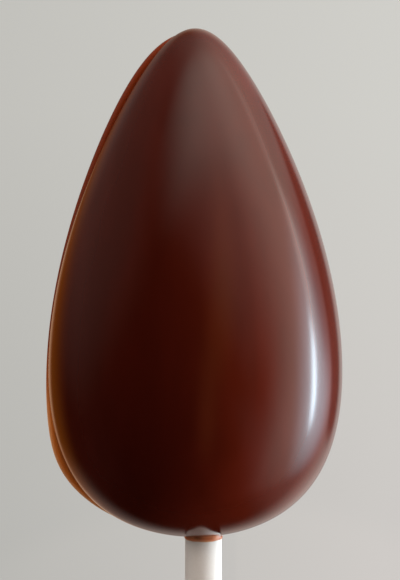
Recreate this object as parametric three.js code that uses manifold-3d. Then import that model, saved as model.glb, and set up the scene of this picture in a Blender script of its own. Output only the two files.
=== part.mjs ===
// Chocolate lollipop: a solid egg-shaped head of two mouldings on a round white stick, lying on
// its back. Millimetres, +Z up. +Y runs along the stick towards the head's pointed end and +Z is
// the side that faces up. The origin is the centre of the small flat spot that the head rests on.
import * as THREE from 'three';
import { ParametricGeometry } from 'three/addons/geometries/ParametricGeometry.js';
import { mergeVertices } from 'three/addons/utils/BufferGeometryUtils.js';
import Module from 'manifold-3d';

// Driving dimensions.
// Each moulding is half of an egg. With s and c the sine and cosine of the angle from its pointed
// end, its radius is breadth * s * (1 + skew[0] * c + skew[1] * c^2 + ...), c running up in powers.
// edgeRadius rounds its rim at the seam, and offsetX and offsetY are how far it is out of line.
// On one side it swells by the share bulge, over bulgeWidth to each side of the angle bulgeAngle.
const FRONT_HALF = { halfLength: 27.75, breadth: 15.0, skew: [-0.378, 0.033, -0.109, 0.064],
  edgeRadius: 0.35, bulge: 0, bulgeAngle: 0, bulgeWidth: 1, offsetX: 0, offsetY: 0, side: 1 };
const BACK_HALF = { halfLength: 27.5, breadth: 14.8, skew: [-0.359, 0.107, -0.128, 0.121],
  edgeRadius: 0.9, bulge: 0.026, bulgeAngle: 2.41, bulgeWidth: 0.25,
  offsetX: -0.47, offsetY: 0.02, side: -1 };
const SEAM_HEIGHT = 15.5; // over the floor, which cuts half a millimetre off the round back
const SEAM_GAP = 0.3;
const HEAD_CENTRE_Y = 10.3; // middle of the front moulding's length, from the resting spot

const STICK_DIAMETER = 4.0;
const STICK_LENGTH = 114.0;
const STICK_IN_HEAD = 30.0;
const STICK_OFFSET_X = 0.88; // the stick stands a little to the right of the head's middle
const STICK_CHAMFER = 0.25;
const STICK_CLEARANCE = 0.3; // around the stick in its socket

const COLLAR_CLEARANCE = 0.08; // to the stick and to the head
const COLLAR_THICKNESS = 0.16; // of the run-out chocolate where it meets the head
const COLLAR_DROP = 0.12; // how far it has run down the stick at the sides and underneath
const COLLAR_FRONT_DROP = 0.32; // further down on the upper side
const COLLAR_RIPPLE = 0.03; // uneven lower edge
const COLLAR_RIPPLES = 5;

// Fineness of the facets.
const LENGTH_STEPS = 46;
const EDGE_STEPS = 3;
const QUARTER_STEPS = 14;
const ROUND_STEPS = 32;
const COLLAR_STEPS_AROUND = 40;
const COLLAR_BULGE_STEPS = 5;
const MERGE_DISTANCE = 1e-4;

// A cutter reaches this far past what it cuts.
const CUT_MARGIN = 10;

const FLAT_STEPS = 1;
const HALF_PATH_STEPS = FLAT_STEPS + EDGE_STEPS + QUARTER_STEPS;

const chocolate = new THREE.MeshStandardMaterial({ color: 0x3c1410, roughness: 0.18, metalness: 0 });
const thinChocolate = new THREE.MeshStandardMaterial({ color: 0x8a4a20, roughness: 0.3, metalness: 0 });
const paper = new THREE.MeshStandardMaterial({ color: 0xe9e6e0, roughness: 0.6, metalness: 0 });

const wasm = await Module();
wasm.setup();

// The egg's outline at an angle from its pointed end: its radius, its place along the length and
// the outward normal, split into the part away from the axis and the part along it.
function eggOutline(egg, angle) {
  const t = Math.cos(angle);
  const s = Math.sin(angle);
  const fullness = egg.skew.reduce((sum, factor, i) => sum + factor * t ** (i + 1), 1);
  const fullnessSlope = -s * egg.skew.reduce((sum, factor, i) => sum + factor * (i + 1) * t ** i, 0);
  const radiusSlope = egg.breadth * (t * fullness + s * fullnessSlope);
  const lengthSlope = -egg.halfLength * s;
  const scale = 1 / Math.hypot(radiusSlope, lengthSlope);
  return {
    radius: egg.breadth * s * fullness,
    along: egg.halfLength * t,
    normalOut: -lengthSlope * scale,
    normalAlong: radiusSlope * scale,
  };
}

// Radius of the egg drawn in by its edge radius, less that radius: zero where the rounded rim
// closes over an end of the half egg.
function rimRoom(egg, angle) {
  const outline = eggOutline(egg, angle);
  return outline.radius - egg.edgeRadius * outline.normalOut - egg.edgeRadius;
}

// The angle between 'outside', where the rim has no room, and 'inside', where it has.
function rimLimit(egg, outside, inside) {
  let low = outside;
  let high = inside;
  for (let step = 0; step < 60; step += 1) {
    const middle = (low + high) / 2;
    if (rimRoom(egg, middle) < 0) {
      low = middle;
    } else {
      high = middle;
    }
  }
  return high;
}

// A closed half egg over the plane z = 0, its rim rounded. Stations run from the pointed end to
// the foot. At each one a path goes out along the flat face, round the rim, over the dome and
// back, the second half of it the mirror of the first.
function halfEggGeometry(egg) {
  const firstAngle = rimLimit(egg, 0, Math.PI / 2);
  const lastAngle = rimLimit(egg, Math.PI, Math.PI / 2);
  const down = new THREE.Vector3(0, 0, -1);

  function surfacePoint(along, around, target) {
    const angle = THREE.MathUtils.lerp(firstAngle, lastAngle, along);
    const outline = eggOutline(egg, angle);
    const innerRadius = outline.radius - egg.edgeRadius * outline.normalOut;
    const creaseAngle = Math.asin(Math.min(1, egg.edgeRadius / innerRadius));
    const isEnd = along === 0 || along === 1;
    const creaseX = isEnd ? 0 : innerRadius * Math.cos(creaseAngle);
    const creaseY = outline.along - egg.edgeRadius * outline.normalAlong;
    const step = around * 2 * HALF_PATH_STEPS;
    const mirror = step > HALF_PATH_STEPS ? -1 : 1;
    const stepFromEnd = Math.min(step, 2 * HALF_PATH_STEPS - step);

    if (stepFromEnd <= FLAT_STEPS) {
      target.set(mirror * creaseX * stepFromEnd / FLAT_STEPS, creaseY, 0);
    } else if (stepFromEnd <= FLAT_STEPS + EDGE_STEPS) {
      const rimFraction = (stepFromEnd - FLAT_STEPS) / EDGE_STEPS;
      const normalX = isEnd ? 0 : outline.normalOut * Math.cos(creaseAngle);
      const normal = new THREE.Vector3(normalX, outline.normalAlong,
        outline.normalOut * Math.sin(creaseAngle)).normalize();
      const turn = down.angleTo(normal);
      const direction = down.clone().multiplyScalar(Math.sin((1 - rimFraction) * turn))
        .addScaledVector(normal, Math.sin(rimFraction * turn))
        .normalize();
      target.set(mirror * (creaseX + egg.edgeRadius * direction.x),
        creaseY + egg.edgeRadius * direction.y, egg.edgeRadius * (1 + direction.z));
    } else {
      const domeFraction = (stepFromEnd - FLAT_STEPS - EDGE_STEPS) / QUARTER_STEPS;
      const domeAngle = THREE.MathUtils.lerp(isEnd ? Math.PI / 2 : creaseAngle, Math.PI / 2, domeFraction);
      const domeX = isEnd ? 0 : innerRadius * Math.cos(domeAngle)
        + egg.edgeRadius * outline.normalOut * Math.cos(domeAngle);
      target.set(mirror * domeX, outline.along,
        (innerRadius + egg.edgeRadius * outline.normalOut) * Math.sin(domeAngle));
    }
    if (target.x > 0) {
      target.x *= 1 + egg.bulge * Math.exp(-(((angle - egg.bulgeAngle) / egg.bulgeWidth) ** 2));
    }
  }

  return new ParametricGeometry(
    (around, along, target) => surfacePoint(along, around, target),
    2 * HALF_PATH_STEPS, LENGTH_STEPS);
}

// Triangles over merged vertices, without those that have shrunk to a line.
function toManifold(geometry) {
  const bare = geometry.clone();
  bare.deleteAttribute('normal');
  bare.deleteAttribute('uv');
  const merged = mergeVertices(bare, MERGE_DISTANCE);
  const corners = Array.from(merged.index.array);
  const kept = [];
  for (let i = 0; i < corners.length; i += 3) {
    const [a, b, c] = corners.slice(i, i + 3);
    if (a !== b && b !== c && c !== a) {
      kept.push(a, b, c);
    }
  }
  return new wasm.Manifold(new wasm.Mesh({
    numProp: 3,
    vertProperties: new Float32Array(merged.attributes.position.array),
    triVerts: new Uint32Array(kept),
  }));
}

function toGeometry(manifold) {
  const mesh = manifold.getMesh();
  const geometry = new THREE.BufferGeometry();
  geometry.setAttribute('position', new THREE.BufferAttribute(mesh.vertProperties, 3));
  geometry.setIndex(new THREE.BufferAttribute(mesh.triVerts, 1));
  geometry.computeVertexNormals();
  return geometry;
}

const stickTopY = HEAD_CENTRE_Y - FRONT_HALF.halfLength + STICK_IN_HEAD;
const headFootY = HEAD_CENTRE_Y - FRONT_HALF.halfLength;

// Cylinder along the stick's line from lowY to highY, with chamfered ends.
function stickLineCylinder(radius, lowY, highY, chamfer) {
  const profile = [
    new THREE.Vector2(0, lowY),
    new THREE.Vector2(radius - chamfer, lowY),
    new THREE.Vector2(radius, lowY + chamfer),
    new THREE.Vector2(radius, highY - chamfer),
    new THREE.Vector2(radius - chamfer, highY),
    new THREE.Vector2(0, highY),
  ];
  return new THREE.LatheGeometry(profile, ROUND_STEPS).translate(STICK_OFFSET_X, 0, SEAM_HEIGHT);
}

// Puts what was made on the plane z = 0 on the moulding's own side of the seam, out of line.
function placeAtSeam(geometry, egg) {
  if (egg.side < 0) {
    geometry.rotateY(Math.PI);
  }
  return geometry.translate(egg.offsetX, HEAD_CENTRE_Y + egg.offsetY,
    SEAM_HEIGHT + egg.side * SEAM_GAP / 2);
}

// One moulding of the head: a half egg on its side of the seam plane, with the groove in which
// the stick is held, and flat where it meets the floor.
function moulding(egg) {
  const solid = toManifold(placeAtSeam(halfEggGeometry(egg), egg));
  const socket = stickLineCylinder(STICK_DIAMETER / 2 + STICK_CLEARANCE,
    headFootY - CUT_MARGIN, stickTopY + STICK_CLEARANCE, STICK_CHAMFER);
  const belowFloor = new THREE.BoxGeometry(4 * egg.halfLength, 4 * egg.halfLength, CUT_MARGIN)
    .translate(0, 0, -CUT_MARGIN / 2);
  return toGeometry(solid.subtract(toManifold(socket)).subtract(toManifold(belowFloor)));
}

// Thin ring of chocolate that has run from the seam on to the stick. Its section goes straight
// down against the stick, back up over an outer side that bulges as a quarter of an ellipse, and
// in again under the head.
function collarGeometry() {
  const innerRadius = STICK_DIAMETER / 2 + COLLAR_CLEARANCE;
  const topY = headFootY - COLLAR_CLEARANCE;
  const sectionSteps = COLLAR_BULGE_STEPS + 2;

  function ringPoint(across, around, target) {
    const turn = around * 2 * Math.PI;
    const drop = COLLAR_DROP + COLLAR_FRONT_DROP * Math.max(0, Math.sin(turn))
      + COLLAR_RIPPLE * Math.cos(COLLAR_RIPPLES * turn);
    const step = across * sectionSteps;
    const climb = THREE.MathUtils.clamp((step - 1) / COLLAR_BULGE_STEPS, 0, 1) * Math.PI / 2;
    const closing = Math.max(0, step - 1 - COLLAR_BULGE_STEPS);
    const down = step < 1 ? step : Math.cos(climb);
    const radius = innerRadius + COLLAR_THICKNESS * Math.sin(climb) * (1 - closing);
    target.set(STICK_OFFSET_X + radius * Math.cos(turn), topY - drop * down,
      SEAM_HEIGHT + radius * Math.sin(turn));
  }

  const ring = new ParametricGeometry(ringPoint, sectionSteps, COLLAR_STEPS_AROUND);
  return toGeometry(toManifold(ring));
}

function namedMesh(name, geometry, material) {
  const mesh = new THREE.Mesh(geometry, material);
  mesh.name = name;
  return mesh;
}

const lollipop = new THREE.Group();
lollipop.add(namedMesh('head_front', moulding(FRONT_HALF), chocolate));
lollipop.add(namedMesh('head_back', moulding(BACK_HALF), chocolate.clone()));
lollipop.add(namedMesh('stick', stickLineCylinder(STICK_DIAMETER / 2, stickTopY - STICK_LENGTH,
  stickTopY, STICK_CHAMFER), paper));
lollipop.add(namedMesh('stick_collar', collarGeometry(), thinChocolate));

export default lollipop;
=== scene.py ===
"""A chocolate lollipop: two half eggs of dark chocolate on a rolled paper stick, in a soft studio.

The frame is in metres, +Z up and +Y along the stick towards the pointed end of the head. The
lollipop lies on its back, and the camera looks straight down on it.
"""

import ast
import logging
import math
from dataclasses import dataclass
from enum import Enum
from typing import Union

import bmesh
import bpy
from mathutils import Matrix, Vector


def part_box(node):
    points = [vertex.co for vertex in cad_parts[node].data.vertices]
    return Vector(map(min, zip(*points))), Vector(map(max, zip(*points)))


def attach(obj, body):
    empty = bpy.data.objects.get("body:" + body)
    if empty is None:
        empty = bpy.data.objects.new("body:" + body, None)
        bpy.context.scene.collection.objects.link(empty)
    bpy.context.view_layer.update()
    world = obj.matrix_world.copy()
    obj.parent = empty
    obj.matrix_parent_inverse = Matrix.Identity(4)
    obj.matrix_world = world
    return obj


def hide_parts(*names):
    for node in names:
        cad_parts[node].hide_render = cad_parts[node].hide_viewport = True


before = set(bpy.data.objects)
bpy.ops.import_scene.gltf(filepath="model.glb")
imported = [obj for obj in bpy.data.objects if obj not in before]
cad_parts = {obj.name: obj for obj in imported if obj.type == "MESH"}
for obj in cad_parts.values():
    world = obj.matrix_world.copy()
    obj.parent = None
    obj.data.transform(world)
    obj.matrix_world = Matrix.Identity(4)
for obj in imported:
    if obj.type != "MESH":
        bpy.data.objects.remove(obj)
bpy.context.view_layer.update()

MM = 0.001
BODY = "root"
# The places of a Mix node's sockets when it is set to colours.
FIRST_COLOUR, SECOND_COLOUR, MIXED_COLOUR = 6, 7, 2
# A sweep of half a turn has a sine of 0, so it stops just short of that.
ALMOST_HALF_TURN = 3.1415
# Halving a quarter turn so often finds an angle to the last digit.
HALVINGS = 60
# Points closer than this are one point.
MERGE_MM = 0.0002
# An edge that turns more than this stays sharp.
SHARP_DEGREES = 30.0
# The powers that give a panel its outline.
ELLIPSE_POWER, SQUARE_POWER = 2.0, 4.0

logger = logging.getLogger("lollipop")

Socket = bpy.types.NodeSocket
Value = Union[Socket, float]


# -------------------- Colours and nodes --------------------


def linear(code: str) -> tuple[float, float, float, float]:
    """Turn an sRGB hex colour into linear light.

    Args:
        code: The colour as six hex digits, with or without a leading hash.

    Returns:
        Red, green and blue in linear light, and 1 for alpha.
    """
    parts = [int(code.lstrip("#")[i : i + 2], 16) / 255 for i in (0, 2, 4)]
    light = [c / 12.92 if c <= 0.04045 else ((c + 0.055) / 1.055) ** 2.4 for c in parts]
    return light[0], light[1], light[2], 1.0


def add_node(
    tree: bpy.types.NodeTree,
    kind: str,
    settings: Union[dict, None] = None,
    links: Union[dict, None] = None,
) -> bpy.types.NodeOutputs:
    """Add a node with its settings and the links into it, and give its outputs.

    Args:
        tree: The node tree that the node goes in.
        kind: Blender's name for the type of node.
        settings: Values by the name or place of an input, or by the name of a property.
        links: Sockets by the name or place of the input that they feed.

    Returns:
        The new node's outputs.
    """
    node = tree.nodes.new(kind)
    for name, value in (settings or {}).items():
        if isinstance(name, int) or name in node.inputs:
            node.inputs[name].default_value = value
        else:
            setattr(node, name, value)
    for name, socket in (links or {}).items():
        tree.links.new(socket, node.inputs[name])
    return node.outputs


def add_object(name: str, data: bpy.types.ID) -> bpy.types.Object:
    """Put a mesh, lamp or camera in the scene, and give its object."""
    placed = bpy.data.objects.new(name, data)
    bpy.context.scene.collection.objects.link(placed)
    return placed


# The math nodes that stand for the signs and functions of a formula.
OPERATORS = {
    ast.Add: "ADD",
    ast.Sub: "SUBTRACT",
    ast.Mult: "MULTIPLY",
    ast.Div: "DIVIDE",
    ast.Pow: "POWER",
}
FUNCTIONS = {
    "sin": "SINE",
    "cos": "COSINE",
    "asin": "ARCSINE",
    "acos": "ARCCOSINE",
    "atan2": "ARCTAN2",
    "sqrt": "SQRT",
    "sign": "SIGN",
    "min": "MINIMUM",
    "max": "MAXIMUM",
    "exp": "EXPONENT",
    "abs": "ABSOLUTE",
    "floor": "FLOOR",
}


def add_formula(tree: bpy.types.NodeTree, text: str, values: dict[str, Value]) -> Value:
    """Add the math nodes that work out a written formula.

    Args:
        tree: The node tree that the nodes go in.
        text: The formula, in plain arithmetic and the names in FUNCTIONS.
        values: The sockets and numbers that the names in the formula stand for.

    Returns:
        The socket that carries the result, or a number if the formula is only that.
    """

    def place(operation: str, parts: list[Value]) -> Socket:
        """Add one math node fed by sockets and numbers."""
        fixed = {i: p for i, p in enumerate(parts) if not isinstance(p, Socket)}
        fed = {i: p for i, p in enumerate(parts) if isinstance(p, Socket)}
        return add_node(tree, "ShaderNodeMath", {"operation": operation, **fixed}, fed)[0]

    def work_out(part: ast.expr) -> Value:
        """Turn one part of the formula into a socket or a number."""
        if isinstance(part, ast.Constant):
            return float(part.value)
        if isinstance(part, ast.Name):
            return values[part.id]
        if isinstance(part, ast.UnaryOp):
            return place("MULTIPLY", [work_out(part.operand), -1.0])
        if isinstance(part, ast.BinOp):
            return place(OPERATORS[type(part.op)], [work_out(part.left), work_out(part.right)])
        return place(FUNCTIONS[part.func.id], [work_out(p) for p in part.args])

    return work_out(ast.parse(text).body[0].value)


# -------------------- Finishes --------------------


class Finish:
    """What a surface is made of, and how it was made."""

    def surface(self, tree: bpy.types.NodeTree, place: Socket) -> Socket:
        """Add the nodes of the surface.

        Args:
            tree: The material's node tree.
            place: The Object coordinates.

        Returns:
            The shader.
        """
        raise NotImplementedError

    def material(self, name: str) -> bpy.types.Material:
        """Make the material.

        Args:
            name: The material's name.

        Returns:
            The material, which reads Object coordinates.
        """
        made = bpy.data.materials.new(name)
        made.use_nodes = True
        tree = made.node_tree
        tree.nodes.clear()
        place = add_node(tree, "ShaderNodeTexCoord")["Object"]
        add_node(tree, "ShaderNodeOutputMaterial", links={"Surface": self.surface(tree, place)})
        return made


@dataclass(frozen=True)
class TemperedChocolate(Finish):
    """Dark chocolate, tempered and set against a polished mould.

    To the eye it is a deep red brown with a hard, wet-looking gloss, a little uneven where the
    cocoa butter has set in streaks along the egg.

    Attributes:
        colour_over: The stretch of streakiness over which the colour goes from deep to warm.
        roughness_over: The stretch of streakiness over which the roughness goes from low to high.
    """

    deep: str = "431106"
    warm: str = "4c1408"
    streak_width_mm: float = 5.0
    streak_length_mm: float = 22.0
    colour_over: tuple[float, float] = (0.35, 0.65)
    grain_mm: float = 0.35
    grain_depth_mm: float = 0.0006
    swell_mm: float = 3.0
    swell_depth_mm: float = 0.003
    roughness: tuple[float, float] = (0.12, 0.18)
    roughness_over: tuple[float, float] = (0.3, 0.7)
    ior: float = 1.5

    def colour(self, tree: bpy.types.NodeTree, place: Socket, streaks: Socket) -> Socket:
        """Add the nodes that colour the chocolate.

        Args:
            tree: The material's node tree.
            place: The Object coordinates.
            streaks: How streaky it is there, from 0 to 1.

        Returns:
            The colour.
        """
        over = dict(zip(("From Min", "From Max"), self.colour_over))
        share = add_node(tree, "ShaderNodeMapRange", over, {"Value": streaks})[0]
        ends = {"data_type": "RGBA", FIRST_COLOUR: linear(self.deep), SECOND_COLOUR: linear(self.warm)}
        return add_node(tree, "ShaderNodeMix", ends, {0: share})[MIXED_COLOUR]

    def surface(self, tree: bpy.types.NodeTree, place: Socket) -> Socket:
        """Add the nodes of the surface, as Finish.surface does."""
        across, along = 1 / (self.streak_width_mm * MM), 1 / (self.streak_length_mm * MM)
        stretch = {"Scale": (across, along, across)}
        stretched = add_node(tree, "ShaderNodeMapping", stretch, {"Vector": place})[0]
        uneven = {"Scale": 1.0, "Detail": 3.0, "Roughness": 0.5}
        streaks = add_node(tree, "ShaderNodeTexNoise", uneven, {"Vector": stretched})[0]
        names = ("From Min", "From Max", "To Min", "To Max")
        over = dict(zip(names, self.roughness_over + self.roughness))
        rough = add_node(tree, "ShaderNodeMapRange", over, {"Value": streaks})[0]
        normal: dict[str, Socket] = {}
        for size_mm, detail, depth_mm in (
            (self.swell_mm, 1.0, self.swell_depth_mm),
            (self.grain_mm, 2.0, self.grain_depth_mm),
        ):
            pattern = {"Scale": 1 / (size_mm * MM), "Detail": detail}
            height = add_node(tree, "ShaderNodeTexNoise", pattern, {"Vector": place})[0]
            relief = {"Strength": 1.0, "Distance": depth_mm * MM}
            normal = {"Normal": add_node(tree, "ShaderNodeBump", relief, {"Height": height, **normal})[0]}
        looks = {"Base Color": self.colour(tree, place, streaks), "Roughness": rough, **normal}
        return add_node(tree, "ShaderNodeBsdfPrincipled", {"IOR": self.ior}, looks)[0]


@dataclass(frozen=True)
class ChocolateWithPaintedRimGlow(TemperedChocolate):
    """The same chocolate, with a glow painted into its colour along the rim.

    To the eye it turns from deep brown to a warm red brown towards the seam, a painted glow as of
    light through a thin rim. Low on its left side it is painted orange, and a pale caramel brown just
    under the seam: a painted glow as of warm light shining through the rim there.
    """

    red: str = "84300f"
    orange: str = "ff8a38"
    caramel: str = "ffc48c"
    seam_mm: float = 15.5
    rim_under_mm: tuple[float, float] = (1.3, 0.3)
    orange_along_mm: tuple[float, float] = (4.0, -5.0)
    orange_across_mm: tuple[float, float] = (-4.0, -9.0)
    caramel_along_mm: tuple[float, float] = (-0.5, -5.0)
    caramel_under_mm: float = 0.75
    caramel_reach_mm: float = 0.6

    def colour(self, tree: bpy.types.NodeTree, place: Socket, streaks: Socket) -> Socket:
        """Add the nodes that colour the chocolate, as TemperedChocolate.colour does."""
        across, along, up = add_node(tree, "ShaderNodeSeparateXYZ", links={0: place})
        values: dict[str, Value] = {
            "up": up,
            "middle": (self.seam_mm - self.caramel_under_mm) * MM,
            "reach": self.caramel_reach_mm * MM,
        }
        # Each share goes from 0 to 1 between two places.
        for name, value, (start, end) in (
            ("near", up, (self.seam_mm - under for under in self.rim_under_mm)),
            ("low", along, self.orange_along_mm),
            ("left", across, self.orange_across_mm),
            ("lowest", along, self.caramel_along_mm),
        ):
            ends = {"From Min": start * MM, "From Max": end * MM}
            values[name] = add_node(tree, "ShaderNodeMapRange", ends, {"Value": value})[0]
        # Painted glow: the share of orange, low on the left side of the rim.
        painted_orange_glow_share = add_formula(tree, "low * left", values)
        # The painted caramel glow lies a little under the seam, and fades out towards it and below it.
        painted_caramel_glow = add_formula(tree, "lowest * left * max(0, 1 - abs(middle - up) / reach)", values)
        red, orange, caramel = (linear(code) for code in (self.red, self.orange, self.caramel))
        # Painted glow: the rim turns red towards the seam, and orange low on the left.
        ends = {"data_type": "RGBA", FIRST_COLOUR: red, SECOND_COLOUR: orange}
        colour = super().colour(tree, place, streaks)
        rim = add_node(tree, "ShaderNodeMix", ends, {0: painted_orange_glow_share})[MIXED_COLOUR]
        links = {0: values["near"], FIRST_COLOUR: colour, SECOND_COLOUR: rim}
        colour = add_node(tree, "ShaderNodeMix", {"data_type": "RGBA"}, links)[MIXED_COLOUR]
        ends = {"data_type": "RGBA", SECOND_COLOUR: caramel}
        return add_node(tree, "ShaderNodeMix", ends, {0: painted_caramel_glow, FIRST_COLOUR: colour})[MIXED_COLOUR]


@dataclass(frozen=True)
class ThinChocolate(Finish):
    """Chocolate that ran thin on to the stick and set there.

    To the eye it is orange brown where the white paper glows through it, and darker where it is
    thicker, against the head.

    Attributes:
        foot: Where the head's foot is along the frame's Y, in metres.
    """

    foot: float
    thin: str = "b8866a"
    thick: str = "945a3c"
    fade_mm: float = 0.5
    mottle_mm: float = 0.6
    mottle_share: float = 0.6
    roughness: float = 0.35
    gloss: float = 0.1
    gloss_roughness: float = 0.08
    glow_mm: float = 0.3
    ior: float = 1.5

    def surface(self, tree: bpy.types.NodeTree, place: Socket) -> Socket:
        """Add the nodes of the surface, as Finish.surface does."""
        along = add_node(tree, "ShaderNodeSeparateXYZ", links={0: place})[1]
        fade = {"From Min": self.foot - self.fade_mm * MM, "From Max": self.foot}
        thickness = add_node(tree, "ShaderNodeMapRange", fade, {"Value": along})[0]
        pattern = {"Scale": 1 / (self.mottle_mm * MM), "Detail": 2.0}
        mottle = add_node(tree, "ShaderNodeTexNoise", pattern, {"Vector": place})[0]
        depth = add_formula(
            tree,
            "min(1, max(0, thickness + share * (mottle - 0.5)))",
            {"thickness": thickness, "mottle": mottle, "share": self.mottle_share},
        )
        ends = {"data_type": "RGBA", FIRST_COLOUR: linear(self.thin), SECOND_COLOUR: linear(self.thick)}
        colour = add_node(tree, "ShaderNodeMix", ends, {0: depth})[MIXED_COLOUR]
        looks = {
            "Roughness": self.roughness,
            "IOR": self.ior,
            "Coat Weight": self.gloss,
            "Coat Roughness": self.gloss_roughness,
            "Subsurface Weight": 1.0,
            "Subsurface Radius": (1.0, 1.0, 1.0),
            "Subsurface Scale": self.glow_mm * MM,
        }
        return add_node(tree, "ShaderNodeBsdfPrincipled", looks, {"Base Color": colour})[0]


@dataclass(frozen=True)
class RolledPaper(Finish):
    """White paper, wound tightly into a stick and calendered smooth.

    To the eye it is a warm white with almost no shine, and a faint slanting line where the
    outer turn of the paper ends.

    Attributes:
        axis_x: Where the stick's axis is across the frame, in metres.
        axis_z: How high the stick's axis is, in metres.
    """

    axis_x: float
    axis_z: float
    white: str = "bcbcbc"
    shade: str = "b0aeac"
    fibre_mm: float = 0.25
    fibre_depth_mm: float = 0.004
    fibre_tone: float = 0.6
    lap_pitch_mm: float = 24.0
    lap_width: float = 0.02
    lap_tone: float = 0.6
    lap_step: float = 0.5
    roughness: float = 0.55
    glow_mm: float = 1.2
    ior: float = 1.45

    def surface(self, tree: bpy.types.NodeTree, place: Socket) -> Socket:
        """Add the nodes of the surface, as Finish.surface does."""
        across, along, up = add_node(tree, "ShaderNodeSeparateXYZ", links={0: place})
        pattern = {"Scale": 1 / (self.fibre_mm * MM), "Detail": 3.0}
        values: dict[str, Value] = {
            "across": across,
            "along": along,
            "up": up,
            "x": self.axis_x,
            "z": self.axis_z,
            "whole_turn": 2 * math.pi,
            "pitch": self.lap_pitch_mm * MM,
            "fibres": add_node(tree, "ShaderNodeTexNoise", pattern, {"Vector": place})[0],
            "fibre_tone": self.fibre_tone,
            "lap_tone": self.lap_tone,
            "lap_step": self.lap_step,
        }
        # The lap winds once round the stick in each pitch, and its edge is a step in height.
        turns = "atan2(up - z, across - x) / whole_turn + along / pitch"
        values["turns"] = add_formula(tree, turns, values)
        lap = add_formula(tree, "turns - floor(turns)", values)
        edge = {"From Min": self.lap_width, "From Max": 0.0}
        values["edge"] = add_node(tree, "ShaderNodeMapRange", edge, {"Value": lap})[0]
        tone = add_formula(tree, "min(1, fibre_tone * fibres + lap_tone * edge)", values)
        ends = {"data_type": "RGBA", FIRST_COLOUR: linear(self.white), SECOND_COLOUR: linear(self.shade)}
        colour = add_node(tree, "ShaderNodeMix", ends, {0: tone})[MIXED_COLOUR]
        height = add_formula(tree, "fibres - lap_step * edge", values)
        relief = {"Strength": 1.0, "Distance": self.fibre_depth_mm * MM}
        normal = add_node(tree, "ShaderNodeBump", relief, {"Height": height})[0]
        looks = {
            "Roughness": self.roughness,
            "IOR": self.ior,
            "Subsurface Weight": 1.0,
            "Subsurface Radius": (1.0, 1.0, 1.0),
            "Subsurface Scale": self.glow_mm * MM,
        }
        links = {"Base Color": colour, "Normal": normal}
        return add_node(tree, "ShaderNodeBsdfPrincipled", looks, links)[0]


@dataclass(frozen=True)
class PalePaper(Finish):
    """A wide sheet of matt paper under the lollipop.

    To the eye it is an even pale grey with hardly any shadow. Painted light makes it a little warmer
    and lighter to the right, and a little darker towards the near left. Most of its tone is given
    rather than lit, so that it stays even.
    """

    left: tuple[str, str] = ("b6b5b1", "c2c1bc")
    right: tuple[str, str] = ("cbc7c4", "cfcec9")
    fade_mm: tuple[float, float] = (44.0, 60.0)
    glow: float = 0.98
    matt: float = 0.05

    def surface(self, tree: bpy.types.NodeTree, place: Socket) -> Socket:
        """Add the nodes of the surface, as Finish.surface does."""
        shares = []
        places = add_node(tree, "ShaderNodeSeparateXYZ", links={0: place})
        for size, value in zip(self.fade_mm, places):
            ends = {"From Min": -size / 2 * MM, "From Max": size / 2 * MM}
            shares.append(add_node(tree, "ShaderNodeMapRange", ends, {"Value": value})[0])
        # The near colours and the far ones go from left to right, and the tone from near to far.
        # This is painted light: lighter and warmer to the right, darker towards the near left.
        rows: dict[Union[str, int], Value] = {0: shares[1]}
        for row, left, right in zip((FIRST_COLOUR, SECOND_COLOUR), self.left, self.right):
            ends = {"data_type": "RGBA", FIRST_COLOUR: linear(left), SECOND_COLOUR: linear(right)}
            rows[row] = add_node(tree, "ShaderNodeMix", ends, {0: shares[0]})[MIXED_COLOUR]
        tone = add_node(tree, "ShaderNodeMix", {"data_type": "RGBA"}, rows)[MIXED_COLOUR]
        glow = add_node(tree, "ShaderNodeEmission", {"Strength": self.glow}, {"Color": tone})[0]
        scale = {"operation": "SCALE", "Scale": self.matt}
        dim = add_node(tree, "ShaderNodeVectorMath", scale, {0: tone})[0]
        matt = add_node(tree, "ShaderNodeBsdfDiffuse", links={"Color": dim})[0]
        return add_node(tree, "ShaderNodeAddShader", links={0: glow, 1: matt})[0]


@dataclass(frozen=True)
class BlackVelvet(Finish):
    """Black velvet on card, which to the eye gives back no light at all."""

    pile: str = "000000"

    def surface(self, tree: bpy.types.NodeTree, place: Socket) -> Socket:
        """Add the nodes of the surface, as Finish.surface does."""
        return add_node(tree, "ShaderNodeBsdfDiffuse", {"Color": linear(self.pile)})[0]


# -------------------- Head --------------------


class Side(Enum):
    """Which way a moulding faces from the seam."""

    FRONT = 1.0
    BACK = -1.0


# The inputs of the tree that makes a half egg, by the names that its formulas use.
HALF_SIZES = (
    "length", "breadth", "skew_1", "skew_2", "skew_3", "skew_4", "edge",
    "bulge", "bulge_angle", "bulge_width", "first", "last", "side", "centre_x", "centre_y",
    "seam", "floor_height", "swell_size", "swell_depth",
)
HALF_COUNTS = ("length_steps", "edge_steps", "quarter_steps")
# The egg's outline at an angle from its pointed end, and its outward normal there.
OUTLINE_STEPS = (
    ("c", "cos(angle)"),
    ("s", "sin(angle)"),
    ("full", "1 + c * (skew_1 + c * (skew_2 + c * (skew_3 + c * skew_4)))"),
    ("full_slope", "-s * (skew_1 + c * (2 * skew_2 + c * (3 * skew_3 + c * 4 * skew_4)))"),
    ("radius_slope", "breadth * (c * full + s * full_slope)"),
    ("slope", "sqrt(radius_slope * radius_slope + length * length * s * s)"),
    ("out", "length * s / slope"),
    ("lengthwise", "radius_slope / slope"),
)


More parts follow.
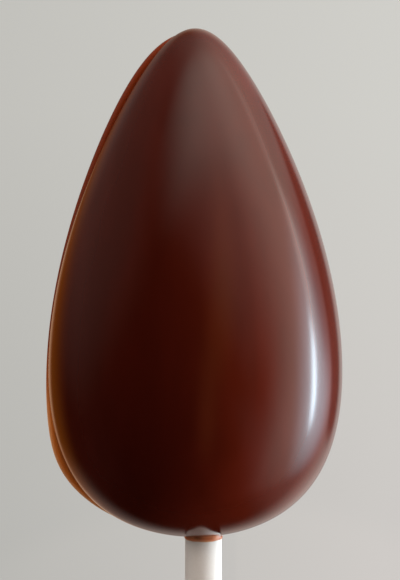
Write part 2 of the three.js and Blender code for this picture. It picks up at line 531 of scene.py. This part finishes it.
@dataclass(frozen=True)
class EggForm:
    """The outline of one half egg, in millimetres.

    With s and c the sine and cosine of the angle from the pointed end, the radius is
    breadth * s * (1 + skew[0] * c + skew[1] * c**2 + ...), and the place along the length is
    half_length * c. One side swells by the share bulge, over bulge_width to each side of
    bulge_angle.
    """

    half_length: float
    breadth: float
    skew: tuple[float, float, float, float]
    edge_radius: float
    bulge: float = 0.0
    bulge_angle: float = 0.0
    bulge_width: float = 1.0

    def inputs(self) -> dict[str, float]:
        """Give the node tree inputs for the outline, in metres."""
        return {
            "length": self.half_length * MM,
            "breadth": self.breadth * MM,
            "edge": self.edge_radius * MM,
            **{f"skew_{i + 1}": k for i, k in enumerate(self.skew)},
            "bulge": self.bulge,
            "bulge_angle": self.bulge_angle,
            "bulge_width": self.bulge_width,
            "first": self.rim_limit(0.0),
            "last": self.rim_limit(math.pi),
        }

    def rim_room(self, angle: float) -> float:
        """Tell how much room the rounded rim has at an angle.

        Args:
            angle: The angle from the pointed end, in radians.

        Returns:
            The radius drawn in by the edge radius, less the edge radius, in millimetres.
        """
        c, s = math.cos(angle), math.sin(angle)
        fullness = 1 + sum(k * c ** (i + 1) for i, k in enumerate(self.skew))
        slope = -s * sum((i + 1) * k * c**i for i, k in enumerate(self.skew))
        radius_slope = self.breadth * (c * fullness + s * slope)
        length_slope = -self.half_length * s
        out = -length_slope / math.hypot(radius_slope, length_slope)
        return self.breadth * s * fullness - self.edge_radius * out - self.edge_radius

    def rim_limit(self, outside: float) -> float:
        """Find the angle at which the rounded rim closes over one end.

        Args:
            outside: The angle of that end: 0 for the point, pi for the foot.

        Returns:
            The angle in radians.
        """
        inside = math.pi / 2
        for _ in range(HALVINGS):
            middle = (outside + inside) / 2
            if self.rim_room(middle) < 0:
                outside = middle
            else:
                inside = middle
        return inside


@dataclass
class Head:
    """The egg-shaped head: two mouldings joined a little out of line."""

    front: EggForm = EggForm(27.75, 15.0, (-0.378, 0.033, -0.109, 0.064), 0.35)
    back: EggForm = EggForm(27.46, 14.8, (-0.359, 0.107, -0.128, 0.121), 0.9, 0.029, 2.42, 0.26)
    back_offset_mm: tuple[float, float] = (-0.47, 0.06)
    seam_gap_mm: float = 0.04
    swell_mm: float = 7.0
    swell_depth_mm: float = 0.02
    length_steps: int = 200
    edge_steps: int = 6
    quarter_steps: int = 60
    finish: TemperedChocolate = TemperedChocolate()
    # The back half's finish, with a glow painted into its colour along the rim.
    painted_rim_glow_finish: ChocolateWithPaintedRimGlow = ChocolateWithPaintedRimGlow()

    def centre(self) -> Vector:
        """Give the middle of the seam, in metres, from the CAD halves' boxes."""
        front_low, front_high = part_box("head_front")
        back_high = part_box("head_back")[1]
        return Vector((
            (front_low.x + front_high.x) / 2,
            (front_low.y + front_high.y) / 2,
            (front_low.z + back_high.z) / 2,
        ))

    def tree(self) -> bpy.types.NodeTree:
        """Build the node tree that makes a half egg.

        A grid is bent into the closed half egg. One way it runs from the point to the foot, and
        the other way round: out along the flat face, round the rim, over the dome and back.

        Returns:
            The geometry node tree, with named inputs for its sizes.
        """
        tree = shape_tree("half_egg", HALF_SIZES, HALF_COUNTS)
        given = add_node(tree, "NodeGroupInput")
        # A point's place on whichever shape these are used on: first the flat grid, then the egg.
        place = add_node(tree, "GeometryNodeInputPosition")[0]
        across, along, up = add_node(tree, "ShaderNodeSeparateXYZ", links={0: place})
        values: dict[str, Value] = {
            "u": across,
            "v": along,
            "up": up,
            "quarter_turn": math.pi / 2,
            "almost_half_turn": ALMOST_HALF_TURN,
            **{name: given[name] for name in HALF_SIZES + HALF_COUNTS},
        }
        values["half"] = add_formula(tree, "1 + edge_steps + quarter_steps", values)
        counts = {
            "Vertices X": add_formula(tree, "2 * half + 1", values),
            "Vertices Y": add_formula(tree, "length_steps + 1", values),
        }
        grid = add_node(tree, "GeometryNodeMeshGrid", {"Size X": 1.0, "Size Y": 1.0}, counts)[0]
        steps = (
            # Where this point is on the path round, and along the egg.
            ("step", "(u + 0.5) * 2 * half"),
            ("from_end", "min(step, 2 * half - step)"),
            ("mirror", "sign(half - step)"),
            ("face", "min(1, from_end)"),
            ("rim", "min(1, max(0, (from_end - 1) / edge_steps))"),
            ("dome", "min(1, max(0, (from_end - 1 - edge_steps) / quarter_steps))"),
            ("angle", "first + (v + 0.5) * (last - first)"),
            *OUTLINE_STEPS,
            # The outline drawn in by the edge radius, which a ball of that radius rolls round.
            ("inner", "breadth * s * full - edge * out"),
            ("crease", "asin(min(1, edge / inner))"),
            ("turn", "crease + dome * (quarter_turn - crease)"),
            ("normal_x", "out * cos(turn)"),
            ("normal_z", "out * sin(turn)"),
            ("sweep", "min(almost_half_turn, acos(-normal_z))"),
            ("share", "sin(rim * sweep) / sin(sweep)"),
            ("below", "sin((1 - rim) * sweep) / sin(sweep)"),
            ("away", "(angle - bulge_angle) / bulge_width"),
            ("swelling", "1 + bulge * max(0, mirror) * exp(-away * away)"),
            ("x", "mirror * face * (inner * cos(turn) + edge * share * normal_x) * swelling"),
            ("y", "length * c - edge * lengthwise + edge * share * lengthwise"),
            ("z", "inner * sin(turn) + edge * (share * normal_z - below)"),
            ("placed_x", "centre_x + side * x"),
            ("placed_y", "centre_y + y"),
            ("placed_z", "seam + side * z"),
        )
        for name, text in steps:
            values[name] = add_formula(tree, text, values)
        links = {0: values["placed_x"], 1: values["placed_y"], 2: values["placed_z"]}
        links = {"Geometry": grid, "Position": add_node(tree, "ShaderNodeCombineXYZ", links=links)[0]}
        links = {"Geometry": add_node(tree, "GeometryNodeSetPosition", links=links)[0]}
        closed = add_node(tree, "GeometryNodeMergeByDistance", {"Distance": MERGE_MM * MM}, links)[0]
        # Chocolate shrinks a little unevenly as it sets, which bends the reflections.
        links = {"Vector": place, "Scale": add_formula(tree, "1 / swell_size", values)}
        swell = add_node(tree, "ShaderNodeTexNoise", {"Detail": 1.0, "Roughness": 0.4}, links)[0]
        rise = add_formula(tree, "(swell - 0.5) * swell_depth", {**values, "swell": swell})
        outward = add_node(tree, "GeometryNodeInputNormal")[0]
        links = {0: outward, "Scale": rise}
        offset = add_node(tree, "ShaderNodeVectorMath", {"operation": "SCALE"}, links)[0]
        links = {"Geometry": closed, "Offset": offset}
        swollen = add_node(tree, "GeometryNodeSetPosition", links=links)[0]
        # The round back rests on a small flat spot.
        links = {0: across, 1: along, 2: add_formula(tree, "max(up, floor_height)", values)}
        links = {"Geometry": swollen, "Position": add_node(tree, "ShaderNodeCombineXYZ", links=links)[0]}
        rested = add_node(tree, "GeometryNodeSetPosition", links=links)[0]
        finish_tree(tree, rested, given["Finish"])
        return tree

    def half(
        self, tree: bpy.types.NodeTree, form: EggForm, side: Side, offset_mm: tuple[float, float],
        material: bpy.types.Material, name: str,
    ) -> bpy.types.Object:
        """Make one moulding as a plain mesh.

        Args:
            tree: The node tree that makes a half egg.
            form: The moulding's outline.
            side: Which way it faces from the seam.
            offset_mm: How far it is out of line, across and along, in millimetres.
            material: Its finish.
            name: The piece's name.

        Returns:
            The finished piece.
        """
        centre = self.centre()
        values = {
            **form.inputs(),
            "side": side.value,
            "centre_x": centre.x + offset_mm[0] * MM,
            "centre_y": centre.y + offset_mm[1] * MM,
            "seam": centre.z + side.value * self.seam_gap_mm / 2 * MM,
            "floor_height": 0.0,
            "swell_size": self.swell_mm * MM,
            "swell_depth": self.swell_depth_mm * MM,
            "length_steps": self.length_steps,
            "edge_steps": self.edge_steps,
            "quarter_steps": self.quarter_steps,
            "Finish": material,
        }
        return piece_from_nodes(name, tree, values)

    def build(self) -> list[bpy.types.Object]:
        """Make both mouldings and attach them to the frame.

        Returns:
            The front and the back piece.
        """
        tree = self.tree()
        thick = self.finish.material("tempered_dark_chocolate")
        # The back half gets the chocolate with the painted rim glow.
        thin = self.painted_rim_glow_finish.material("dark_chocolate_with_painted_rim_glow")
        front = self.half(tree, self.front, Side.FRONT, (0.0, 0.0), thick, "front_half_egg")
        back = self.half(tree, self.back, Side.BACK, self.back_offset_mm, thin, "back_half_egg")
        for piece, node in ((front, "head_front"), (back, "head_back")):
            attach(piece, BODY)
            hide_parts(node)
        return [front, back]


def shape_tree(name: str, sizes: tuple[str, ...], counts: tuple[str, ...]) -> bpy.types.NodeTree:
    """Start a geometry node tree.

    Args:
        name: The tree's name.
        sizes: The names of its inputs that are sizes.
        counts: The names of its inputs that are whole numbers.

    Returns:
        The tree, with those inputs, one for the finish, and an output for the shape.
    """
    tree = bpy.data.node_groups.new(name, "GeometryNodeTree")
    for size in sizes:
        tree.interface.new_socket(size, in_out="INPUT", socket_type="NodeSocketFloat")
    for count in counts:
        tree.interface.new_socket(count, in_out="INPUT", socket_type="NodeSocketInt")
    tree.interface.new_socket("Finish", in_out="INPUT", socket_type="NodeSocketMaterial")
    tree.interface.new_socket("Geometry", in_out="OUTPUT", socket_type="NodeSocketGeometry")
    return tree


def finish_tree(tree: bpy.types.NodeTree, shape: Socket, finish: Socket) -> None:
    """End a geometry node tree: smooth the shape, make it real, dress it and put it out.

    Args:
        tree: The tree.
        shape: The shape so far.
        finish: The material that dresses it.
    """
    smooth = add_node(tree, "GeometryNodeSetShadeSmooth", {"Shade Smooth": True}, {"Geometry": shape})[0]
    real = add_node(tree, "GeometryNodeRealizeInstances", links={0: smooth})[0]
    dressed = add_node(tree, "GeometryNodeSetMaterial", links={"Geometry": real, "Material": finish})
    add_node(tree, "NodeGroupOutput", links={0: dressed[0]})


def piece_from_nodes(name: str, tree: bpy.types.NodeTree, values: dict) -> bpy.types.Object:
    """Run a geometry node tree and keep its result as a plain mesh.

    Args:
        name: The new piece's name.
        tree: The geometry node tree.
        values: The tree's inputs by their names.

    Returns:
        An object that holds the mesh, with no modifier on it.
    """
    maker = add_object(name + "_maker", bpy.data.meshes.new(name + "_maker"))
    modifier = maker.modifiers.new("nodes", "NODES")
    modifier.node_group = tree
    for item in tree.interface.items_tree:
        if item.item_type == "SOCKET" and item.in_out == "INPUT":
            modifier[item.identifier] = values[item.name]
    graph = bpy.context.evaluated_depsgraph_get()
    mesh = bpy.data.meshes.new_from_object(maker.evaluated_get(graph), depsgraph=graph)
    mesh.name = name
    bpy.data.objects.remove(maker)
    return add_object(name, mesh)


def ring_round(axis: Vector, radius: float, alongs: list[float]) -> list[Vector]:
    """Give a ring of points round a line along Y.

    Args:
        axis: A point on the line, in metres.
        radius: The ring's radius, in metres.
        alongs: Where each point is along Y, in metres, in turn from +X.

    Returns:
        The points in order.
    """
    turns = (2 * math.pi * i / len(alongs) for i in range(len(alongs)))
    return [
        Vector((axis.x + radius * math.cos(turn), along, axis.z + radius * math.sin(turn)))
        for turn, along in zip(turns, alongs)
    ]


def piece_from_rings(
    name: str, rings: list[list[Vector]], material: bpy.types.Material, capped: bool
) -> bpy.types.Object:
    """Skin a row of rings into one closed mesh.

    Args:
        name: The new piece's name.
        rings: The rings, each with the same number of points.
        material: The piece's finish.
        capped: Whether the first and last ring are closed with a face, or else joined together.

    Returns:
        The new piece, with its faces pointing outwards.
    """
    mesh = bpy.data.meshes.new(name)
    shape = bmesh.new()
    made = [[shape.verts.new(point) for point in ring] for ring in rings]
    count = len(rings[0])
    pairs = list(zip(made, made[1:])) + ([] if capped else [(made[-1], made[0])])
    for low, high in pairs:
        for i in range(count):
            j = (i + 1) % count
            shape.faces.new((low[i], low[j], high[j], high[i]))
    if capped:
        shape.faces.new(list(reversed(made[0])))
        shape.faces.new(made[-1])
    bmesh.ops.recalc_face_normals(shape, faces=shape.faces)
    for face in shape.faces:
        face.smooth = True
    for edge in shape.edges:
        if len(edge.link_faces) == 2 and edge.calc_face_angle() > math.radians(SHARP_DEGREES):
            edge.smooth = False
    shape.to_mesh(mesh)
    shape.free()
    mesh.materials.append(material)
    return add_object(name, mesh)


# -------------------- Stick and collar --------------------


@dataclass
class Stick:
    """The round paper stick, held in the head at the seam."""

    chamfer_mm: float = 0.25
    chamfer_steps: int = 4
    steps_round: int = 72
    length_steps: int = 40

    def axis(self) -> Vector:
        """Give a point on the stick's axis, at its lower end, in metres."""
        low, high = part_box("stick")
        return Vector(((low.x + high.x) / 2, low.y, (low.z + high.z) / 2))

    def radius(self) -> float:
        """Give the stick's radius in metres."""
        low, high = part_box("stick")
        return (high.x - low.x) / 2

    def build(self) -> bpy.types.Object:
        """Make the stick and attach it to the frame.

        Returns:
            The finished piece.
        """
        low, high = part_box("stick")
        radius, chamfer = self.radius(), self.chamfer_mm * MM
        foot = [
            (radius - chamfer + chamfer * math.sin(a), low.y + chamfer - chamfer * math.cos(a))
            for a in (i * math.pi / 2 / self.chamfer_steps for i in range(self.chamfer_steps + 1))
        ]
        straight = [
            (radius, low.y + chamfer + (high.y - low.y - 2 * chamfer) * i / self.length_steps)
            for i in range(1, self.length_steps)
        ]
        top = [(r, high.y + low.y - y) for r, y in reversed(foot)]
        axis = self.axis()
        rings = [ring_round(axis, r, [y] * self.steps_round) for r, y in foot + straight + top]
        material = RolledPaper(axis.x, axis.z).material("rolled_white_paper")
        piece = piece_from_rings("paper_stick", rings, material, capped=True)
        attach(piece, BODY)
        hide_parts("stick")
        return piece


@dataclass
class Collar:
    """The thin ring of chocolate that ran from the seam on to the stick.

    Attributes:
        ripples: How many to a turn, how high in millimetres, and the phase of each ripple.
    """

    thickness_mm: float = 0.09
    drop_mm: float = 0.1
    front_drop_mm: float = 0.26
    ripples: tuple[tuple[int, float, float], ...] = (
        (3, 0.015, 0.7), (5, 0.02, 0.0), (11, 0.01, 1.9),
    )
    buried_mm: float = 0.12
    clear_of_stick_mm: float = 0.004
    steps_round: int = 144
    bulge_steps: int = 8

    def drop(self, turn: float) -> float:
        """Tell how far the chocolate has run down the stick.

        Args:
            turn: The angle round the stick from +X, in radians.

        Returns:
            The distance below the head's foot, in millimetres.
        """
        uneven = sum(size * math.cos(n * turn + phase) for n, size, phase in self.ripples)
        return self.drop_mm + self.front_drop_mm * max(0.0, math.sin(turn)) + uneven

    def build(self, stick: Stick) -> bpy.types.Object:
        """Make the collar and attach it to the frame.

        Args:
            stick: The stick that it clings to.

        Returns:
            The finished piece.
        """
        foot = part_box("stick_collar")[1].y
        axis, radius = stick.axis(), stick.radius() + self.clear_of_stick_mm * MM
        climbs = (step / self.bulge_steps * math.pi / 2 for step in range(self.bulge_steps + 1))
        # The path round its edge, as shares of the drop and of the thickness.
        path = [(math.cos(climb), math.sin(climb)) for climb in climbs]
        path += [(-self.buried_mm / self.drop_mm, out) for out in (1.0, 0.0)]
        drops = [self.drop(2 * math.pi * i / self.steps_round) for i in range(self.steps_round)]
        rings = [
            ring_round(axis, radius + self.thickness_mm * out * MM, [foot - drop * down * MM for drop in drops])
            for down, out in path
        ]
        material = ThinChocolate(foot).material("run_out_chocolate")
        piece = piece_from_rings("run_out_collar", rings, material, capped=False)
        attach(piece, BODY)
        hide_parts("stick_collar")
        return piece


# -------------------- Studio --------------------


def direction(bearing: float, lean: float) -> Vector:
    """Give the unit vector that points to a bearing and a lean, both in radians."""
    level = math.cos(lean)
    return Vector((math.sin(bearing) * level, math.sin(lean), math.cos(bearing) * level))


class Part(Enum):
    """What a panel does to the light that reaches the lollipop."""

    LIGHT = "light"
    FLAG = "flag"


@dataclass(frozen=True)
class Source:
    """Something that stands round the lollipop and changes the light on it.

    Attributes:
        name: What it is.
        bearing: Degrees round the stick's line: 0 is straight above, 90 is to the right.
        lean: Degrees towards the pointed end of the head.
    """

    name: str
    bearing: float
    lean: float


@dataclass(frozen=True)
class Panel(Source):
    """A soft panel, which gives light or, as a flag, holds it back.

    Attributes:
        width: Half its width, in degrees.
        height: Half its height, in degrees.
        blur: The share of its size over which its edge fades.
        strength: How bright it is, or for a flag the share of light that it holds back.
        colour: Its colour as sRGB hex.
        roll: Degrees that it is turned.
        part: Whether it gives light or holds it back.
        square: Whether it is a rounded square rather than an ellipse.
    """

    width: float
    height: float
    blur: float
    strength: float
    colour: str = "ffffff"
    roll: float = 0.0
    part: Part = Part.LIGHT
    square: bool = False

    def axes(self) -> tuple[Vector, Vector, Vector]:
        """Give the unit vectors across the panel, up it, and from the lollipop to its middle."""
        bearing, lean, roll = (math.radians(a) for a in (self.bearing, self.lean, self.roll))
        middle = direction(bearing, lean)
        across = Vector((math.cos(bearing), 0.0, -math.sin(bearing)))
        up = direction(bearing, lean + math.pi / 2)
        turned = across * math.cos(roll) + up * math.sin(roll)
        return turned, up * math.cos(roll) - across * math.sin(roll), middle


@dataclass(frozen=True)
class Fill(Source):
    """A broad soft fill that lights the body of the chocolate and the stick, and leaves no shine.

    Attributes:
        spread: How wide it is, in degrees.
        level: How bright white paper that faces it looks.
        colour: Its colour as sRGB hex.
    """

    spread: float
    level: float
    colour: str = "ffffff"

    def build(self) -> None:
        """Make the lamp."""
        data = bpy.data.lights.new(self.name, "SUN")
        data.angle = math.radians(self.spread)
        # A sun of strength pi lights white paper to 1.
        data.energy = math.pi * self.level
        data.color = linear(self.colour)[:3]
        lamp = add_object(self.name, data)
        towards = direction(math.radians(self.bearing), math.radians(self.lean))
        lamp.rotation_euler = towards.to_track_quat("Z", "Y").to_euler()
        lamp.visible_glossy = False


@dataclass(frozen=True)
class StickLamp:
    """A soft warm lamp on the stick alone, which stops where the head begins and leaves no shine.

    Attributes:
        reach_mm: How far from the stick it hangs.
        past_mm: How far past the foot of the head its middle is.
        bearing: Degrees round the stick's line: 0 is straight above, 90 is to the right.
        level: How bright white paper that faces it looks.
        colour: Its colour as sRGB hex.
        size_mm: How wide the lamp itself is.
        edge_blend: The share of its light that fades out at the edge.
    """

    reach_mm: float = 240.0
    past_mm: float = 46.0
    bearing: float = -6.0
    level: float = 0.74
    colour: str = "fff0e2"
    size_mm: float = 2.0
    edge_blend: float = 0.02

    def build(self, stick: Stick) -> None:
        """Make the lamp.

        Args:
            stick: The stick that it lights.
        """
        data = bpy.data.lights.new("stick lamp", "SPOT")
        data.spot_size = 2 * math.atan(self.past_mm / self.reach_mm)
        data.spot_blend = self.edge_blend
        data.shadow_soft_size = self.size_mm * MM
        # The watts that light white paper at this reach to the level.
        data.energy = 4 * (math.pi * self.reach_mm * MM) ** 2 * self.level
        data.color = linear(self.colour)[:3]
        lamp = add_object("stick lamp", data)
        lit = stick.axis()
        lit.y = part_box("stick_collar")[1].y - self.past_mm * MM
        bearing = math.radians(self.bearing)
        lamp.location = lit + self.reach_mm * MM * direction(bearing, 0.0)
        lamp.rotation_euler = (0.0, bearing, 0.0)
        lamp.visible_glossy = False


@dataclass(frozen=True)
class ShineCard:
    """A small folded black card across the stick that only the shine sees.

    It keeps the far end of the stick out of the shine under the head, as a hand round it would.

    Attributes:
        folds_mm: Its folds from left to right: how far across from the stick, and past the foot.
        height_mm: How far it stands over the stick.
    """

    folds_mm: tuple[tuple[float, float], ...] = (
        (-2.2, 2.6), (-1.0, 3.6), (-0.1, 4.6), (0.5, 3.6), (1.2, 1.9), (2.1, 0.7),
    )
    height_mm: float = 24.0

    def build(self, stick: Stick) -> None:
        """Make the card.

        Args:
            stick: The stick that it stands over.
        """
        axis, foot = stick.axis(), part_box("stick_collar")[1].y
        mesh = bpy.data.meshes.new("shine_card")
        corners = [
            (axis.x + across * MM, foot - past * MM, axis.z + up)
            for across, past in self.folds_mm
            for up in (-stick.radius(), self.height_mm * MM)
        ]
        count = len(corners)
        mesh.from_pydata(corners, [], [(i, i + 1, i + 3, i + 2) for i in range(0, count - 2, 2)])
        mesh.materials.append(BlackVelvet().material("black_velvet_card"))
        card = add_object("shine_card", mesh)
        card.visible_camera = False
        card.visible_diffuse = False
        card.visible_shadow = False


@dataclass
class Studio:
    """A pale floor, soft panels of light all round, and the camera overhead."""

    view_height_mm: float = 63.39
    distance_mm: float = 300.0
    aim_mm: tuple[float, float] = (0.507, -0.84)
    floor_size_mm: float = 1600.0
    paper: PalePaper = PalePaper()
    panels: tuple[Panel, ...] = (
        Panel("pale wall", 150, 20, 30, 45, 0.6, 0.62, "f6f4ee"),
        Panel("ceiling", 46, 62, 28, 42, 0.95, 0.81, "f8ebde"),
        Panel("ceiling past the point", 22, 63, 29, 14, 0.8, 0.98, "f8f0e2", square=True),
        Panel("side wall", 91, 17, 23, 43, 0.95, 1.52, "f0f6e8", square=True),
        Panel("side wall by the foot", 102, -32, 42, 19, 0.9, 0.42, "f4eee8"),
        Panel("low wall past the foot", 156, -27, 20, 12, 0.8, 0.26, "ffe4d6"),
        Panel("window glow", 107.8, -6, 14.4, 19, 0.9, 3.9, "c4ecff", roll=11),
        Panel("lit curtain", 127, -3, 9, 17, 0.9, 0.7, "ffb4b8"),
        Panel("window", 106, -4, 2.6, 11.5, 0.4, 19.0, "d8f0ff", roll=6),
        Panel("window frame", 107, 15, 3.2, 13, 0.4, 1.6, "fff2e4", roll=4),
        Panel("top of the window frame", 104.5, 37, 2.4, 22, 0.7, 0.85, "ffe6dc", roll=8),
        Panel("warm shelf", 23, 20, 8, 18, 0.9, 0.55, "ff9050", roll=-14),
        Panel("warm table", 10, -14, 6, 24, 0.9, 0.36, "ff8850"),
        Panel("curtain", 126, 10, 11, 10, 0.6, 0.55, part=Part.FLAG),
        Panel("dark doorway", 141.5, 5, 10, 17, 0.16, 0.84, roll=8, part=Part.FLAG, square=True),
        Panel("grey room", -101, 34, 40, 34, 0.5, 0.15, "f4ece0"),
        Panel("grey wall", -152, 27, 16, 14, 0.6, 0.12, "f0e6e0"),
        Panel("warm lamp", -151, -4, 21, 21, 0.6, 0.27, "ff8f2c"),
        Panel("floor past the foot", 172, -16, 14, 20, 0.8, 0.22, "f4e6dc"),
        Panel("floor by the foot", -167, -25, 21, 11, 0.8, 0.19, "ffe8dc", roll=-14),
        Panel("lit edge of the floor", -168, -4.5, 11, 12, 0.25, 0.38, "ffd4b0"),
        Panel("floor past the point", 180, 41, 22, 22, 0.8, 0.4, "ffc8a0"),
    )
    fills: tuple[Fill, ...] = (
        Fill("window fill", 87, -6, 40, 1.4),
        Fill("low fill", 98, -26, 60, 0.38),
        Fill("ceiling fill", 0, 90, 70, 0.6),
        Fill("left fill", -118, -4, 90, 0.36, "ffeee0"),
        Fill("room above", 0, 0, 170, 0.08),
        Fill("floor bounce", 180, 0, 170, 0.3),
    )

    def build(self, stick: Stick) -> None:
        """Make the floor, the light and the camera, and set the picture's colour handling.

        Args:
            stick: The stick, which has a lamp of its own.
        """
        self.floor()
        self.light()
        StickLamp().build(stick)
        ShineCard().build(stick)
        self.camera()
        bpy.context.scene.view_settings.view_transform = "Standard"

    def floor(self) -> None:
        """Make the plain floor, which the light from below and beside passes through."""
        half = self.floor_size_mm / 2 * MM
        mesh = bpy.data.meshes.new("floor")
        corners = [(-half, -half, 0.0), (half, -half, 0.0), (half, half, 0.0), (-half, half, 0.0)]
        mesh.from_pydata(corners, [], [(0, 1, 2, 3)])
        mesh.materials.append(self.paper.material("pale_paper_floor"))
        floor = add_object("floor", mesh)
        floor.visible_glossy = False
        floor.visible_diffuse = False
        floor.visible_shadow = False

    def light(self) -> None:
        """Light the lollipop with the fills and the panels, and show the camera a plain pale backdrop."""
        for fill in self.fills:
            fill.build()
        world = bpy.data.worlds.new("studio")
        world.use_nodes = True
        tree = world.node_tree
        tree.nodes.clear()
        towards = add_node(tree, "ShaderNodeTexCoord")["Generated"]
        total = add_node(tree, "ShaderNodeCombineXYZ")[0]
        for panel in self.panels:
            values: dict[str, Value] = {
                "width": math.radians(panel.width),
                "height": math.radians(panel.height),
                "power": SQUARE_POWER if panel.square else ELLIPSE_POWER,
            }
            for name, axis in zip(("across", "up", "middle"), panel.axes()):
                dot = {"operation": "DOT_PRODUCT", 1: axis}
                values[name] = add_node(tree, "ShaderNodeVectorMath", dot, {0: towards})["Value"]
            # How far out on the panel each direction is, from 0 at its middle to 1 at its edge.
            reach = add_formula(
                tree,
                "(abs(atan2(across, middle) / width) ** power"
                " + abs(atan2(up, middle) / height) ** power) ** (1 / power)",
                values,
            )
            fade = {
                "label": panel.name,
                "interpolation_type": "SMOOTHSTEP",
                "From Min": 1 + panel.blur,
                "From Max": 1 - panel.blur,
                "To Max": panel.strength,
            }
            mask = add_node(tree, "ShaderNodeMapRange", fade, {"Value": reach})[0]
            if panel.part is Part.LIGHT:
                tint = {"operation": "SCALE", 0: linear(panel.colour)[:3]}
                glow = add_node(tree, "ShaderNodeVectorMath", tint, {"Scale": mask})[0]
                kind, links = "ADD", {0: total, 1: glow}
            else:
                kind, links = "SCALE", {0: total, "Scale": add_formula(tree, "1 - mask", {"mask": mask})}
            total = add_node(tree, "ShaderNodeVectorMath", {"operation": kind}, links)[0]
        studio = add_node(tree, "ShaderNodeBackground", {"Strength": 1.0}, {"Color": total})[0]
        pale = {"Color": linear(self.paper.right[1]), "Strength": 1.0}
        plain = add_node(tree, "ShaderNodeBackground", pale)[0]
        seen = add_node(tree, "ShaderNodeLightPath")["Is Camera Ray"]
        both = add_node(tree, "ShaderNodeMixShader", links={0: seen, 1: studio, 2: plain})[0]
        add_node(tree, "ShaderNodeOutputWorld", links={"Surface": both})
        bpy.context.scene.world = world

    def camera(self) -> None:
        """Set the camera straight above the head."""
        low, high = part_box("head_front")
        seam = (low.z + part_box("head_back")[1].z) / 2
        data = bpy.data.cameras.new("overhead")
        data.sensor_fit = "VERTICAL"
        data.angle = 2 * math.atan(self.view_height_mm / 2 / self.distance_mm)
        camera = add_object("overhead", data)
        camera.location = (
            (low.x + high.x) / 2 + self.aim_mm[0] * MM,
            (low.y + high.y) / 2 + self.aim_mm[1] * MM,
            seam + self.distance_mm * MM,
        )
        bpy.context.scene.camera = camera


def main() -> None:
    """Build the lollipop and its studio, and report each piece."""
    logging.basicConfig(level=logging.INFO, format="%(name)s: %(message)s")
    head = Head()
    stick = Stick()
    collar = Collar()
    pieces = head.build() + [stick.build(), collar.build(stick)]
    for piece in pieces:
        size = [round(side / MM, 2) for side in piece.dimensions]
        logger.info("%s: %d faces, %s mm", piece.name, len(piece.data.polygons), size)
    Studio().build(stick)


if __name__ == "__main__":
    main()
